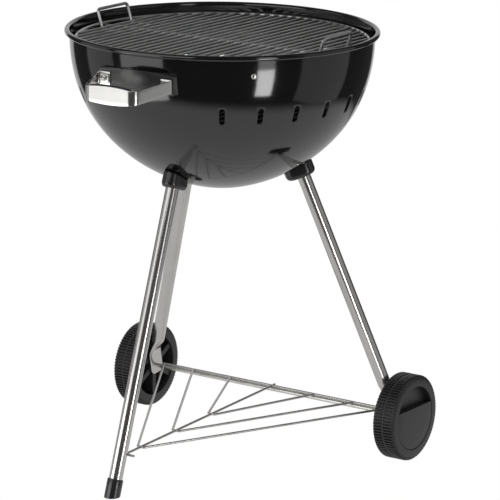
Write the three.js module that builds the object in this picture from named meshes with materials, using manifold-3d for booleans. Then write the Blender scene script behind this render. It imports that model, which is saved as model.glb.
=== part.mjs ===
// Kettle charcoal grill: an open enamelled bowl with two grates, on a tripod of steel tubes
// with two wheels, a foot, a wire shelf and two bent-strap side handles.
// Millimetres, +Z up, origin on the ground under the bowl's centre. The foot leg stands
// towards -X, the wheels towards +X, and the vent slots face the front (-Y) and the back (+Y).

import * as THREE from 'three';
import { mergeVertices } from 'three/addons/utils/BufferGeometryUtils.js';
import Module from 'manifold-3d';

const wasm = await Module();
wasm.setup();

// ---- Driving dimensions ---------------------------------------------------------------

const GAP = 0.3; // clearance between pieces that rest on each other

const RIM_HEIGHT = 809;
const RIM_RADIUS = 288; // outer edge of the curled rim
const BOWL_RADIUS = 279; // outside of the wall just under the rim
const BOWL_DEPTH = 295;
const BOWL_DEPTH_POWER = 2.32; // the bowl's outline is a superellipse with two powers
const BOWL_RADIUS_POWER = 1.75;
const SHEET = 1.2; // enamelled steel sheet
const BOWL_SIDES = 48;
const BOWL_RINGS = 11;
const CURL_END_ANGLE = -105; // the rim's curl runs from the wall over the top to here
const CURL_STEPS = 5;

const VENT_WIDTH = 10;
const VENT_LENGTH = 33;
const VENT_DEPTH = 113; // below the rim, to the slot's middle
const VENT_COUNT = 8; // in each group
const VENT_PITCH = 15; // degrees
const VENT_GROUP_ANGLES = [-92.5, 87.5]; // middle of the front and the back group

const GRATE_DROP = 20; // ring of the cooking grate below the rim
const GRATE_RADIUS = 268;
const GRATE_RING_WIRE = 3; // wire radii
const GRATE_BAR_WIRE = 2.25;
const GRATE_PITCH = 18;
const GRATE_LAST_BAR = 13 * GRATE_PITCH;
const GRIP_WIDTH = 91; // wire grips on the cooking grate
const GRIP_HEIGHT = 33;
const GRIP_LEAN = 12;

const COAL_GRATE_RADIUS = 219;
const COAL_GRATE_PITCH = 22;
const COAL_LAST_BAR = 8.5 * COAL_GRATE_PITCH;

const BRACKET_ANGLES = { front: -133.5, right: -23.5, rear: 106.5 };
const BRACKET_SCREW_DROP = 37;
const BRACKET_WIDTH = 24;
const BRACKET_REACH = 21;
const BRACKET_SHEET = 2;

const LEG_RADIUS = 12.5;
const LEG_WALL = 1.2;
const LEG_SIDES = 16;
const LEG_LINE_RADIUS = 159; // every leg's centre line passes this radius at this height
const LEG_LINE_HEIGHT = 519;
const LEGS = {
  foot: { angle: 180, slope: 0.335 },
  front: { angle: -57.65, slope: 0.398 },
  rear: { angle: 57.65, slope: 0.398 },
};
const SOCKET_LENGTH = 57;
const SOCKET_WIDTH = 34;
const SOCKET_SHIFT = 4; // towards the bowl's middle
const SOCKET_REACH = 24; // from the bowl to the socket's mouth
const SOCKET_EDGE = 7; // how far the block's ends slope in towards the mouth
const SOCKET_FLOOR = 10; // from the bowl to the end of the tube

const WHEEL_RADIUS = 81;
const WHEEL_HALF_WIDTH = 23;
const WHEEL_MIDDLE = 299.5; // distance of the wheel's middle plane from the grill's middle
const WHEEL_SIDES = 36;
const AXLE_RADIUS = 4;
const AXLE_HEIGHT = WHEEL_RADIUS;
const LEG_END_OFFSET = 275; // the flattened leg ends stand this far from the middle
const LEG_END_THICKNESS = 5;
const LEG_END_WIDTH = 34;

const HANDLE_TURN = 1.8; // degrees, both handles sit a little round the bowl
const HANDLE_HEIGHT = 752.5; // height of the handle's two bolts
const HANDLE_BOLT_OFFSET = 66.5;
const HANDLE_FOOT_OFFSET = 79.5; // outer edge of the strap's feet
const HANDLE_FOOT_INNER = 54;
const HANDLE_PLATE = 277.8; // the strap's feet stand this far from the bowl's centre line
const HANDLE_REACH = 362;
const HANDLE_HALF_GRIP = 51.5;
const HANDLE_DROP = 12; // the grip lies lower than the bolts
const STRAP = 2;
const STRAP_HALF_HEIGHT = 12.3;
const GRIP_HALF_HEIGHT = 16.2;
const HANDLE_ROOM = [650, 850]; // heights that every cutter of a handle spans

const RACK_WIRE = 2.3;
const RACK_RISE = 0.0375; // the shelf climbs from the foot leg to the axle

// ---- Finishes -------------------------------------------------------------------------

const FINISHES = {
  enamel: { color: 0x0b0b0c, roughness: 0.12, metalness: 0.0 },
  chrome: { color: 0xc4c2be, roughness: 0.14, metalness: 1.0 },
  satin_steel: { color: 0xd2cfc8, roughness: 0.32, metalness: 1.0 },
  black_plastic: { color: 0x161617, roughness: 0.5, metalness: 0.0 },
  wheel_plastic: { color: 0x3b3c3e, roughness: 0.55, metalness: 0.0 },
  grate_wire: { color: 0x8f8f8d, roughness: 0.3, metalness: 1.0 },
  rack_wire: { color: 0x9a9894, roughness: 0.28, metalness: 1.0 },
  fastener: { color: 0xbfbdb8, roughness: 0.25, metalness: 1.0 },
};

// ---- Solids: three.js geometry in, closed bodies out -----------------------------------

function signedVolume(position, index) {
  const a = new THREE.Vector3();
  const b = new THREE.Vector3();
  const c = new THREE.Vector3();
  let volume = 0;
  for (let i = 0; i < index.length; i += 3) {
    a.fromBufferAttribute(position, index[i]);
    b.fromBufferAttribute(position, index[i + 1]);
    c.fromBufferAttribute(position, index[i + 2]);
    volume += a.dot(b.cross(c));
  }
  return volume;
}

/** A body for joining and cutting, whichever way round the geometry's faces point. */
function solid(geometry) {
  const bare = geometry.clone();
  bare.deleteAttribute('normal');
  bare.deleteAttribute('uv');
  const merged = mergeVertices(bare, 1e-4);
  const { position } = merged.attributes;
  const { array } = merged.index;
  const triangles = [];
  const inward = signedVolume(position, array) < 0;
  for (let i = 0; i < array.length; i += 3) {
    const [a, b, c] = [array[i], array[i + 1], array[i + 2]];
    if (a !== b && b !== c && c !== a) triangles.push(...(inward ? [a, c, b] : [a, b, c]));
  }
  return new wasm.Manifold(
    new wasm.Mesh({
      numProp: 3,
      vertProperties: new Float32Array(position.array),
      triVerts: new Uint32Array(triangles),
    }),
  );
}

function geometryOf(body) {
  const { vertProperties, triVerts } = body.getMesh();
  const indexed = new THREE.BufferGeometry();
  indexed.setAttribute('position', new THREE.BufferAttribute(vertProperties, 3));
  indexed.setIndex(new THREE.BufferAttribute(triVerts, 1));
  const flat = indexed.toNonIndexed();
  flat.computeVertexNormals();
  return flat;
}

function join(bodies) {
  return bodies.reduce((whole, body) => whole.add(body));
}

function cut(body, cutters) {
  return cutters.reduce((rest, cutter) => rest.subtract(cutter), body);
}

const grill = new THREE.Group();
grill.name = 'kettle_grill';

function addPiece(name, body, finish) {
  const mesh = new THREE.Mesh(geometryOf(body), new THREE.MeshStandardMaterial(FINISHES[finish]));
  mesh.name = name;
  grill.add(mesh);
}

// ---- Basic shapes ----------------------------------------------------------------------

const radians = THREE.MathUtils.degToRad;

/** A body turned about +Z from a closed outline of [radius, height] points. */
function turned(outline, sides) {
  const points = outline.map(([radius, height]) => new THREE.Vector2(radius, height));
  const onAxis = points[0].x === 0 && points[points.length - 1].x === 0;
  if (!onAxis) points.push(points[0].clone());
  return solid(new THREE.LatheGeometry(points, sides).rotateX(Math.PI / 2));
}

/** A round bar between two points. */
function bar(from, to, radius, sides = 6) {
  const axis = new THREE.Vector3().subVectors(to, from);
  const geometry = new THREE.CylinderGeometry(radius, radius, axis.length(), sides);
  const turn = new THREE.Quaternion();
  turn.setFromUnitVectors(new THREE.Vector3(0, 1, 0), axis.clone().normalize());
  geometry.applyQuaternion(turn);
  geometry.translate((from.x + to.x) / 2, (from.y + to.y) / 2, (from.z + to.z) / 2);
  return solid(geometry);
}

/** A bent wire: bars between the points, with a ball in each bend. */
function wire(points, radius) {
  const bodies = [];
  points.slice(1).forEach((point, i) => bodies.push(bar(points[i], point, radius)));
  points.slice(1, -1).forEach((point) => {
    bodies.push(solid(new THREE.SphereGeometry(radius, 6, 4).translate(...point)));
  });
  return join(bodies);
}

function ring(radius, wireRadius, height, sides) {
  const geometry = new THREE.TorusGeometry(radius, wireRadius, 6, sides);
  return solid(geometry.translate(0, 0, height));
}

function box(low, high) {
  const size = high.map((value, i) => value - low[i]);
  const geometry = new THREE.BoxGeometry(...size);
  return solid(geometry.translate(...low.map((value, i) => value + size[i] / 2)));
}

/** A slot-shaped prism: rounded ends along local Y, extruded along local Z. */
function slotPrism(width, length, low, high) {
  const half = length / 2 - width / 2;
  const outline = new THREE.Shape();
  outline.absarc(0, half, width / 2, 0, Math.PI);
  outline.absarc(0, -half, width / 2, Math.PI, 2 * Math.PI);
  const options = { depth: high - low, bevelEnabled: false, curveSegments: 3 };
  return new THREE.ExtrudeGeometry(outline, options).translate(0, 0, low);
}

/** A prism from an outline of [x, y] points, extruded along local Z. */
function prism(points, low, high) {
  const outline = new THREE.Shape(points.map(([x, y]) => new THREE.Vector2(x, y)));
  const options = { depth: high - low, bevelEnabled: false };
  return new THREE.ExtrudeGeometry(outline, options).translate(0, 0, low);
}

/** A dome head with its shank, along local +Z, the head's seat at height 0. */
function screw(headRadius, headHeight, shankRadius, shankLength) {
  const half = Math.SQRT1_2;
  const outline = [
    [0, headHeight],
    [headRadius * half, headHeight * half],
    [headRadius, 0],
    [shankRadius, 0],
    [shankRadius, -shankLength],
    [0, -shankLength],
  ];
  return turned(outline, 10);
}

/** A cutter for a round hole along local Z, centred on height 0. */
function holeCutter(radius) {
  const length = 24;
  return solid(new THREE.CylinderGeometry(radius, radius, length, 10).rotateX(Math.PI / 2));
}

/** A hexagon nut around the local Z axis, its hole just clearing a shank. */
function nut(radius, shank, low, high) {
  const hole = (shank + GAP) / Math.cos(Math.PI / 6);
  return turned([[hole, low], [radius, low], [radius, high], [hole, high]], 6);
}

function moved(body, matrix) {
  return body.transform(matrix.elements);
}

function framed(x, y, z, origin) {
  return new THREE.Matrix4().makeBasis(x, y, z).setPosition(origin);
}

// ---- The bowl's outline -----------------------------------------------------------------

function wallRadius(depth) {
  const rest = 1 - (depth / BOWL_DEPTH) ** BOWL_DEPTH_POWER;
  return BOWL_RADIUS * Math.max(0, rest) ** (1 / BOWL_RADIUS_POWER);
}

function depthAtWallRadius(radius) {
  const rest = 1 - (radius / BOWL_RADIUS) ** BOWL_RADIUS_POWER;
  return BOWL_DEPTH * rest ** (1 / BOWL_DEPTH_POWER);
}

/** The wall's outward normal in the plane of [radius, height]. */
function wallNormal(depth) {
  const step = 0.05;
  const run = (wallRadius(depth + step) - wallRadius(depth - step)) / (2 * step);
  const length = Math.hypot(1, run);
  return [1 / length, run / length];
}

/** Points of the wall from the rim's curl down to the axis, moved outwards by an offset. */
function wallOutline(offset) {
  const top = RIM_HEIGHT - rimCurl.height;
  const points = [[BOWL_RADIUS + offset, top]];
  for (let i = 1; i < BOWL_RINGS; i += 1) {
    const depth = BOWL_DEPTH * Math.sin((i / BOWL_RINGS) * (Math.PI / 2));
    const [out, up] = wallNormal(depth);
    points.push([wallRadius(depth) + out * offset, RIM_HEIGHT - depth + up * offset]);
  }
  points.push([0, RIM_HEIGHT - BOWL_DEPTH - offset]);
  return points;
}

// Radius of the sheet's middle in the curl.
const curlMiddle = (RIM_RADIUS - BOWL_RADIUS) / 2;
const rimCurl = {
  centre: RIM_RADIUS - SHEET / 2 - curlMiddle,
  height: curlMiddle + SHEET / 2,
};

function curlArc(radius) {
  const points = [];
  for (let i = 1; i <= CURL_STEPS; i += 1) {
    const angle = radians(180 + ((CURL_END_ANGLE - 180) * i) / CURL_STEPS);
    const height = RIM_HEIGHT - rimCurl.height + radius * Math.sin(angle);
    points.push([rimCurl.centre + radius * Math.cos(angle), height]);
  }
  return points;
}

/** The filled bowl, grown by an offset: cuts the pieces that sit on the wall. */
function filledBowl(offset) {
  const outline = wallOutline(offset);
  return turned([[0, outline[0][1]], ...outline], BOWL_SIDES);
}

/** A place on the wall: local X along the rim, Y up the wall, Z outwards. */
function onWall(angle, depth) {
  const [out, up] = wallNormal(depth);
  const around = radians(angle);
  const outward = new THREE.Vector3(Math.cos(around) * out, Math.sin(around) * out, up);
  const along = new THREE.Vector3(-Math.sin(around), Math.cos(around), 0);
  const upward = new THREE.Vector3().crossVectors(outward, along);
  const radius = wallRadius(depth);
  const origin = new THREE.Vector3(
    Math.cos(around) * radius,
    Math.sin(around) * radius,
    RIM_HEIGHT - depth,
  );
  return framed(along, upward, outward, origin);
}

// ---- Legs: centre lines ------------------------------------------------------------------

/** A leg's frame at the bowl: Z runs down the leg, Y lies along the rim. */
function legPlace({ angle, slope }) {
  const around = radians(angle);
  const legRadius = (height) => LEG_LINE_RADIUS + slope * (LEG_LINE_HEIGHT - height);
  let low = RIM_HEIGHT - BOWL_DEPTH;
  let high = RIM_HEIGHT - BOWL_DEPTH / 2;
  for (let i = 0; i < 40; i += 1) {
    const middle = (low + high) / 2;
    if (legRadius(middle) > wallRadius(RIM_HEIGHT - middle)) low = middle;
    else high = middle;
  }
  const cos = Math.cos(around);
  const sin = Math.sin(around);
  const down = new THREE.Vector3(slope * cos, slope * sin, -1).normalize();
  const along = new THREE.Vector3(-sin, cos, 0);
  const across = new THREE.Vector3().crossVectors(along, down);
  const origin = new THREE.Vector3(legRadius(low) * cos, legRadius(low) * sin, low);
  return { matrix: framed(across, along, down, origin), origin, down };
}

const places = Object.fromEntries(
  Object.entries(LEGS).map(([name, leg]) => [name, legPlace(leg)]),
);

/** Distance down a leg from the bowl to a height. */
function reachTo(place, height) {
  return (place.origin.z - height) / -place.down.z;
}

// ---- Bowl ----------------------------------------------------------------------------------

const SOCKET_SCREW = { head: 7, shank: 3, hole: 3.4 };
const BRACKET_SCREW = { head: 5.4, shank: 2.4, hole: 2.75 };
const HANDLE_BOLT = { head: 6, shank: 3, hole: 3.4 };

function handleBoltHoles(side) {
  return [-1, 1].map((end) => {
    const y = end * HANDLE_BOLT_OFFSET;
    const from = new THREE.Vector3(side * (BOWL_RADIUS / 2), y, HANDLE_HEIGHT);
    const to = new THREE.Vector3(side * (HANDLE_PLATE + 10), y, HANDLE_HEIGHT);
    return bar(from, to, HANDLE_BOLT.hole, 10);
  });
}

function makeBowl() {
  const outer = wallOutline(0);
  const inner = wallOutline(-SHEET);
  const shell = turned(
    [
      ...outer.reverse(),
      ...curlArc(curlMiddle - SHEET / 2),
      ...curlArc(curlMiddle + SHEET / 2).reverse(),
      ...inner,
    ],
    BOWL_SIDES,
  );
  const cutters = [];
  for (const middle of VENT_GROUP_ANGLES) {
    for (let i = 0; i < VENT_COUNT; i += 1) {
      const angle = middle + (i - (VENT_COUNT - 1) / 2) * VENT_PITCH;
      const slot = solid(slotPrism(VENT_WIDTH, VENT_LENGTH, -10, 10));
      cutters.push(moved(slot, onWall(angle, VENT_DEPTH)));
    }
  }
  for (const angle of Object.values(BRACKET_ANGLES)) {
    cutters.push(moved(holeCutter(BRACKET_SCREW.hole), onWall(angle, BRACKET_SCREW_DROP)));
  }
  for (const place of Object.values(places)) {
    cutters.push(moved(holeCutter(SOCKET_SCREW.hole), place.matrix));
  }
  const handleTurn = new THREE.Matrix4().makeRotationZ(radians(HANDLE_TURN));
  for (const side of [-1, 1]) {
    for (const hole of handleBoltHoles(side)) cutters.push(moved(hole, handleTurn));
  }
  addPiece('bowl', cut(shell, cutters), 'enamel');
}

// ---- Brackets that carry the cooking grate ---------------------------------------------------

function makeBrackets() {
  const ledge = RIM_HEIGHT - GRATE_DROP - GRATE_RING_WIRE - GAP;
  const room = filledBowl(-SHEET - GAP);
  const face = filledBowl(-SHEET - GAP - BRACKET_SHEET);
  for (const [place, angle] of Object.entries(BRACKET_ANGLES)) {
    const half = BRACKET_WIDTH / 2;
    const bottom = RIM_HEIGHT - BRACKET_SCREW_DROP - half;
    const turn = new THREE.Matrix4().makeRotationZ(radians(angle));
    const reach = BOWL_RADIUS - BRACKET_REACH;
    const block = moved(box([reach, -half, bottom], [BOWL_RADIUS, half, ledge]), turn);
    const below = moved(
      box([reach - 1, -half - 1, bottom - 1], [BOWL_RADIUS, half + 1, ledge - BRACKET_SHEET]),
      turn,
    );
    const seat = onWall(angle, BRACKET_SCREW_DROP);
    const cutters = [face.intersect(below), moved(holeCutter(BRACKET_SCREW.hole), seat)];
    const bracket = cut(room.intersect(block), cutters);
    addPiece(`grate_bracket_${place}`, bracket, 'satin_steel');
    const fixing = screw(BRACKET_SCREW.head, 3.4, BRACKET_SCREW.shank, 11);
    const lifted = new THREE.Matrix4().makeTranslation(0, 0, GAP);
    addPiece(`bracket_screw_${place}`, moved(moved(fixing, lifted), seat), 'fastener');
    const inside = -SHEET - BRACKET_SHEET - 5 * GAP;
    const hexagon = nut(4.6, BRACKET_SCREW.shank, inside - 4, inside);
    addPiece(`bracket_nut_${place}`, moved(hexagon, seat), 'fastener');
  }
}

// ---- Leg sockets, their screws and the plugs in the tubes ---------------------------------------

function makeSockets() {
  const wall = filledBowl(GAP);
  for (const [name, place] of Object.entries(places)) {
    // The block runs up the wall, so its long side lies across the leg, along local X.
    const ends = slotPrism(SOCKET_WIDTH, SOCKET_LENGTH, -30, SOCKET_REACH - SOCKET_EDGE);
    const mouth = slotPrism(SOCKET_WIDTH - 4, SOCKET_LENGTH - 2 * SOCKET_EDGE, 0, SOCKET_REACH);
    const across = new THREE.Matrix4().makeRotationZ(Math.PI / 2).setPosition(SOCKET_SHIFT, 0, 0);
    const saddle = wasm.Manifold.hull([moved(solid(ends), across), moved(solid(mouth), across)]);
    const bore = LEG_RADIUS + GAP;
    const tubeRoom = turned(
      [[0, SOCKET_FLOOR], [bore, SOCKET_FLOOR], [bore, SOCKET_REACH + 5], [0, SOCKET_REACH + 5]],
      LEG_SIDES,
    );
    const screwRoom = turned(
      [[0, -35], [SOCKET_SCREW.hole, -35], [SOCKET_SCREW.hole, 15], [0, 15]],
      12,
    );
    const socket = cut(moved(saddle, place.matrix), [
      wall,
      moved(tubeRoom, place.matrix),
      moved(screwRoom, place.matrix),
    ]);
    addPiece(`leg_socket_${name}`, socket, 'black_plastic');

    const plugRadius = LEG_RADIUS - LEG_WALL - GAP;
    const plugTop = SOCKET_FLOOR + GAP;
    const plug = turned(
      [
        [SOCKET_SCREW.hole, plugTop],
        [plugRadius, plugTop],
        [plugRadius, plugTop + 16],
        [SOCKET_SCREW.hole, plugTop + 16],
      ],
      LEG_SIDES,
    );
    addPiece(`leg_plug_${name}`, moved(plug, place.matrix), 'fastener');

    const fixing = screw(SOCKET_SCREW.head, 4, SOCKET_SCREW.shank, 28);
    const turnedOver = new THREE.Matrix4().makeRotationX(Math.PI).setPosition(0, 0, -4);
    addPiece(`socket_screw_${name}`, moved(moved(fixing, turnedOver), place.matrix), 'fastener');
  }
}

// ---- Legs ------------------------------------------------------------------------------------

function legTube(place, start, end, radius) {
  const from = place.origin.clone().addScaledVector(place.down, start);
  const to = place.origin.clone().addScaledVector(place.down, end);
  return bar(from, to, radius, LEG_SIDES);
}

const FOOT_TUBE_END = 8; // height of the tube's end inside the foot cap

function rackHeight(x) {
  return AXLE_HEIGHT + AXLE_RADIUS + GAP + RACK_WIRE + RACK_RISE * (x - axleX);
}

const frontPlace = places.front;
const axleX = frontPlace.origin.x + frontPlace.down.x * reachTo(frontPlace, AXLE_HEIGHT);

function makeFootLeg() {
  const place = places.foot;
  const start = SOCKET_FLOOR + GAP;
  const end = reachTo(place, FOOT_TUBE_END);
  const outer = legTube(place, start, end, LEG_RADIUS);
  const inner = legTube(place, start - 5, end + 5, LEG_RADIUS - LEG_WALL);
  const shelfHole = bar(
    new THREE.Vector3(-310, 0, rackHeight(-310)),
    new THREE.Vector3(-270, 0, rackHeight(-270)),
    RACK_WIRE + GAP + 0.1,
    12,
  );
  addPiece('foot_leg', cut(outer, [inner, shelfHole]), 'chrome');

  const cap = legTube(place, end - 24, end + 14, LEG_RADIUS + 2);
  const ground = box([-400, -50, -50], [-250, 50, 0]);
  const room = legTube(place, end - 30, end + GAP, LEG_RADIUS + GAP);
  addPiece('foot_cap', cut(cap, [ground, room]), 'black_plastic');
}

/** A tube pressed flat at its lower end, where the axle passes through it. */
function pressedTube(place, side, start, end, radius, flatHalf, wideHalf) {
  const rows = 9;
  const length = end - start;
  const geometry = new THREE.CylinderGeometry(1, 1, length, LEG_SIDES, rows);
  const across = new THREE.Vector3(1, 0, 0);
  across.addScaledVector(place.down, -across.dot(place.down)).normalize();
  const through = new THREE.Vector3().crossVectors(place.down, across);
  const axis = new THREE.Vector3(0, 1, 0).multiplyScalar(Math.sign(through.y));
  const flatStart = reachTo(place, AXLE_HEIGHT + 62);
  const flatEnd = reachTo(place, AXLE_HEIGHT + 20);
  const { position } = geometry.attributes;
  const point = new THREE.Vector3();
  for (let i = 0; i < position.count; i += 1) {
    point.fromBufferAttribute(position, i);
    const row = THREE.MathUtils.clamp((length / 2 - point.y) / length, 0, 1);
    const down = start + length * row ** 0.55;
    const press = THREE.MathUtils.smoothstep(down, flatStart, flatEnd);
    const thick = THREE.MathUtils.lerp(radius, flatHalf, press);
    const wide = THREE.MathUtils.lerp(radius, wideHalf, press);
    const normal = through.clone().lerp(axis, press).normalize();
    const centre = place.origin.clone().addScaledVector(place.down, down);
    centre.y = THREE.MathUtils.lerp(centre.y, side * LEG_END_OFFSET, press);
    centre.addScaledVector(across, point.x * wide);
    centre.addScaledVector(normal, point.z * thick);
    position.setXYZ(i, centre.x, centre.y, centre.z);
  }
  return solid(geometry);
}

function makeWheelLegs() {
  for (const [name, side] of [['front', -1], ['rear', 1]]) {
    const place = places[name];
    const start = SOCKET_FLOOR + GAP;
    const end = reachTo(place, AXLE_HEIGHT - 14);
    const thick = LEG_END_THICKNESS / 2;
    const wide = LEG_END_WIDTH / 2;
    const outer = pressedTube(place, side, start, end, LEG_RADIUS, thick, wide);
    const innerEnd = reachTo(place, AXLE_HEIGHT + 22);
    const radius = LEG_RADIUS - LEG_WALL;
    const inner = pressedTube(
      place, side, start - 5, innerEnd, radius, thick - LEG_WALL, wide - LEG_WALL,
    );
    const from = new THREE.Vector3(axleX, side * (LEG_END_OFFSET - 20), AXLE_HEIGHT);
    const to = new THREE.Vector3(axleX, side * (LEG_END_OFFSET + 20), AXLE_HEIGHT);
    const hole = bar(from, to, AXLE_RADIUS + GAP, 16);
    addPiece(`${name}_wheel_leg`, cut(outer, [inner, hole]), 'chrome');
  }
}

// ---- Axle and wheels ----------------------------------------------------------------------------

const WEB_FACE = 9.5; // the wheel's web, measured outwards from its middle plane
const WEB = 4;
const COVER_RADIUS = 60;
const COVER_CHORD = 20; // the cover stops at this height above the axle
const COVER_SHEET = 3;

function wheelPlace(side) {
  const outward = new THREE.Vector3(0, side, 0);
  const up = new THREE.Vector3(0, 0, 1);
  const across = new THREE.Vector3().crossVectors(up, outward);
  const origin = new THREE.Vector3(axleX, side * WHEEL_MIDDLE, AXLE_HEIGHT);
  return framed(across, up, outward, origin);
}

function makeWheelBody() {
  const half = WHEEL_HALF_WIDTH;
  const bore = AXLE_RADIUS + GAP;
  const hubEnd = LEG_END_OFFSET + LEG_END_THICKNESS / 2 + 2.4 - WHEEL_MIDDLE;
  const rim = turned(
    [
      [bore, hubEnd],
      [14, hubEnd],
      [14, WEB_FACE - WEB],
      [59, WEB_FACE - WEB],
      [59, -half],
      [WHEEL_RADIUS - 8, -half],
      [WHEEL_RADIUS, -half + 5],
      [WHEEL_RADIUS, half - 5],
      [WHEEL_RADIUS - 8, half],
      [COVER_RADIUS + GAP, half],
      [COVER_RADIUS + GAP, WEB_FACE],
      [bore, WEB_FACE],
    ],
    WHEEL_SIDES,
  );
  const ribs = [];
  for (let i = 0; i < 6; i += 1) {
    const rib = box([12, -5, 3 - half], [60, 5, WEB_FACE - 1]);
    ribs.push(moved(rib, new THREE.Matrix4().makeRotationZ(radians(60 * i + 30))));
  }
  return join([rim, ...ribs]);
}

function makeWheelCover() {
  const base = WEB_FACE + GAP;
  const face = WHEEL_HALF_WIDTH;
  const shell = (inset, low) => {
    const radius = COVER_RADIUS - inset;
    const outline = [
      [0, low],
      [radius, low],
      [radius, face - 1 - inset],
      [radius * 0.6, face - inset],
      [0, face + 0.7 - inset],
    ];
    const body = turned(outline, WHEEL_SIDES);
    return cut(body, [box([-80, COVER_CHORD - inset, -50], [80, 80, 50])]);
  };
  return cut(shell(0, base), [shell(COVER_SHEET, base - 1)]);
}

function makeWheels() {
  const length = WHEEL_MIDDLE + WEB_FACE + 4;
  const from = new THREE.Vector3(axleX, -length, AXLE_HEIGHT);
  const to = new THREE.Vector3(axleX, length, AXLE_HEIGHT);
  addPiece('axle', bar(from, to, AXLE_RADIUS, 16), 'fastener');
  const body = makeWheelBody();
  const cover = makeWheelCover();
  const hole = AXLE_RADIUS + GAP;
  const seat = LEG_END_OFFSET + LEG_END_THICKNESS / 2 + GAP - WHEEL_MIDDLE;
  const washer = turned([[hole, seat], [10, seat], [10, seat + 1.5], [hole, seat + 1.5]], 16);
  const low = WEB_FACE + GAP;
  const capTop = low + 5.5;
  const capInside = low + 4.3;
  const retainer = turned(
    [
      [hole, low],
      [8, low],
      [8, low + 2],
      [5.5, capTop],
      [0, capTop],
      [0, capInside],
      [hole, capInside],
    ],
    12,
  );
  for (const [name, side] of [['front', -1], ['rear', 1]]) {
    const place = wheelPlace(side);
    addPiece(`${name}_wheel`, moved(body, place), 'wheel_plastic');
    addPiece(`${name}_wheel_cover`, moved(cover, place), 'wheel_plastic');
    addPiece(`${name}_axle_washer`, moved(washer, place), 'fastener');
    addPiece(`${name}_axle_cap`, moved(retainer, place), 'fastener');
  }
}

// ---- Handles --------------------------------------------------------------------------------------

/** The strap's plan: feet, arms and grip, as its outer edge and back along its inner edge. */
function strapPlan(inset) {
  const foot = HANDLE_PLATE + STRAP - inset;
  const reach = HANDLE_REACH - inset;
  const round = 9;
  const half = [
    [foot, HANDLE_FOOT_INNER],
    [foot, HANDLE_FOOT_OFFSET - inset * 1.6],
    [reach - round, HANDLE_HALF_GRIP + 3 - inset],
    [reach - round * 0.3, HANDLE_HALF_GRIP - round * 0.3 - inset * 0.7],
    [reach, HANDLE_HALF_GRIP - round],
  ];
  const mirrored = half.map(([x, y]) => [x, -y]).reverse();
  return [...half, ...mirrored];
}

/** Front view of the grip: it swells in height from its corners to its middle. */
function gripOutline(extra) {
  const middle = HANDLE_HEIGHT - HANDLE_DROP;
  const top = [];
  const steps = 10;
  for (let i = 0; i <= steps; i += 1) {
    const y = HANDLE_HALF_GRIP * ((2 * i) / steps - 1);
    const swell = (GRIP_HALF_HEIGHT - STRAP_HALF_HEIGHT) * (1 - (y / HANDLE_HALF_GRIP) ** 2);
    top.push([y, STRAP_HALF_HEIGHT + swell + extra]);
  }
  const over = top.map(([y, height]) => [y, middle + height]);
  const under = top.map(([y, height]) => [y, middle - height]).reverse();
  return { over, under };
}

/** Turns a prism drawn in [y, z] so that it runs along X. */
function alongX(geometry) {
  const matrix = new THREE.Matrix4();
  matrix.set(0, 0, 1, 0, 1, 0, 0, 0, 0, 1, 0, 0, 0, 0, 0, 1);
  return solid(geometry.applyMatrix4(matrix));
}

/** Turns a prism drawn in [x, z] so that it runs along Y. */
function alongY(geometry) {
  return solid(geometry.rotateX(Math.PI / 2));
}

function makeStrap() {
  const [low, high] = HANDLE_ROOM;
  const inboard = HANDLE_PLATE - 28;
  const slit = HANDLE_FOOT_INNER - 0.1;
  const outer = solid(prism(strapPlan(0), low, high));
  const loop = [[inboard, slit], ...strapPlan(STRAP), [inboard, -slit]];
  const inner = solid(prism(loop, low - 50, high + 50));
  const grip = HANDLE_HEIGHT - HANDLE_DROP;
  const arm = HANDLE_REACH - 10;
  const tall = GRIP_HALF_HEIGHT + 3;
  const side = [
    [inboard, HANDLE_HEIGHT - STRAP_HALF_HEIGHT],
    [HANDLE_PLATE + STRAP + 2, HANDLE_HEIGHT - STRAP_HALF_HEIGHT],
    [arm, grip - STRAP_HALF_HEIGHT],
    [arm, grip - tall],
    [HANDLE_REACH + 10, grip - tall],
    [HANDLE_REACH + 10, grip + tall],
    [arm, grip + tall],
    [arm, grip + STRAP_HALF_HEIGHT],
    [HANDLE_PLATE + STRAP + 2, HANDLE_HEIGHT + STRAP_HALF_HEIGHT - 1],
    [inboard, HANDLE_HEIGHT + STRAP_HALF_HEIGHT - 1],
  ];
  const { over, under } = gripOutline(0);
  const edge = HANDLE_HALF_GRIP;
  const wide = 100;
  const front = [
    [-wide, high], [-edge, high], ...over, [edge, high], [wide, high],
    [wide, low], [edge, low], ...under, [-edge, low], [-wide, low],
  ];
  return outer.subtract(inner)
    .intersect(alongY(prism(side, -120, 120)))
    .intersect(alongX(prism(front, 0, 400)));
}

function makeLiner() {
  const { over, under } = gripOutline(1.5);
  const outline = alongX(prism([...over, ...under], 0, 400));
  const inside = HANDLE_REACH - STRAP - GAP;
  const half = HANDLE_HALF_GRIP - 9;
  const plan = [
    [inside - 8, half - 3],
    [inside - 6, half],
    [inside - 1, half],
    [inside, half - 2],
    [inside, -half + 2],
    [inside - 1, -half],
    [inside - 6, -half],
    [inside - 8, -half + 3],
  ];
  return outline.intersect(solid(prism(plan, ...HANDLE_ROOM)));
}

function makeShield() {
  const half = 17;
  const swell = 4; // the upper edge rises in the middle
  const steps = 8;
  const wide = HANDLE_FOOT_OFFSET;
  const outline = [[-wide, HANDLE_HEIGHT - half], [wide, HANDLE_HEIGHT - half]];
  for (let i = 0; i <= steps; i += 1) {
    const share = 1 - (2 * i) / steps;
    outline.push([wide * share, HANDLE_HEIGHT + half + swell * (1 - share ** 2)]);
  }
  const plate = alongX(prism(outline, 230, HANDLE_PLATE - GAP));
  const turnedBack = new THREE.Matrix4().makeRotationZ(-radians(HANDLE_TURN));
  return cut(plate, [moved(filledBowl(GAP), turnedBack), ...handleBoltHoles(1)]);
}

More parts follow.
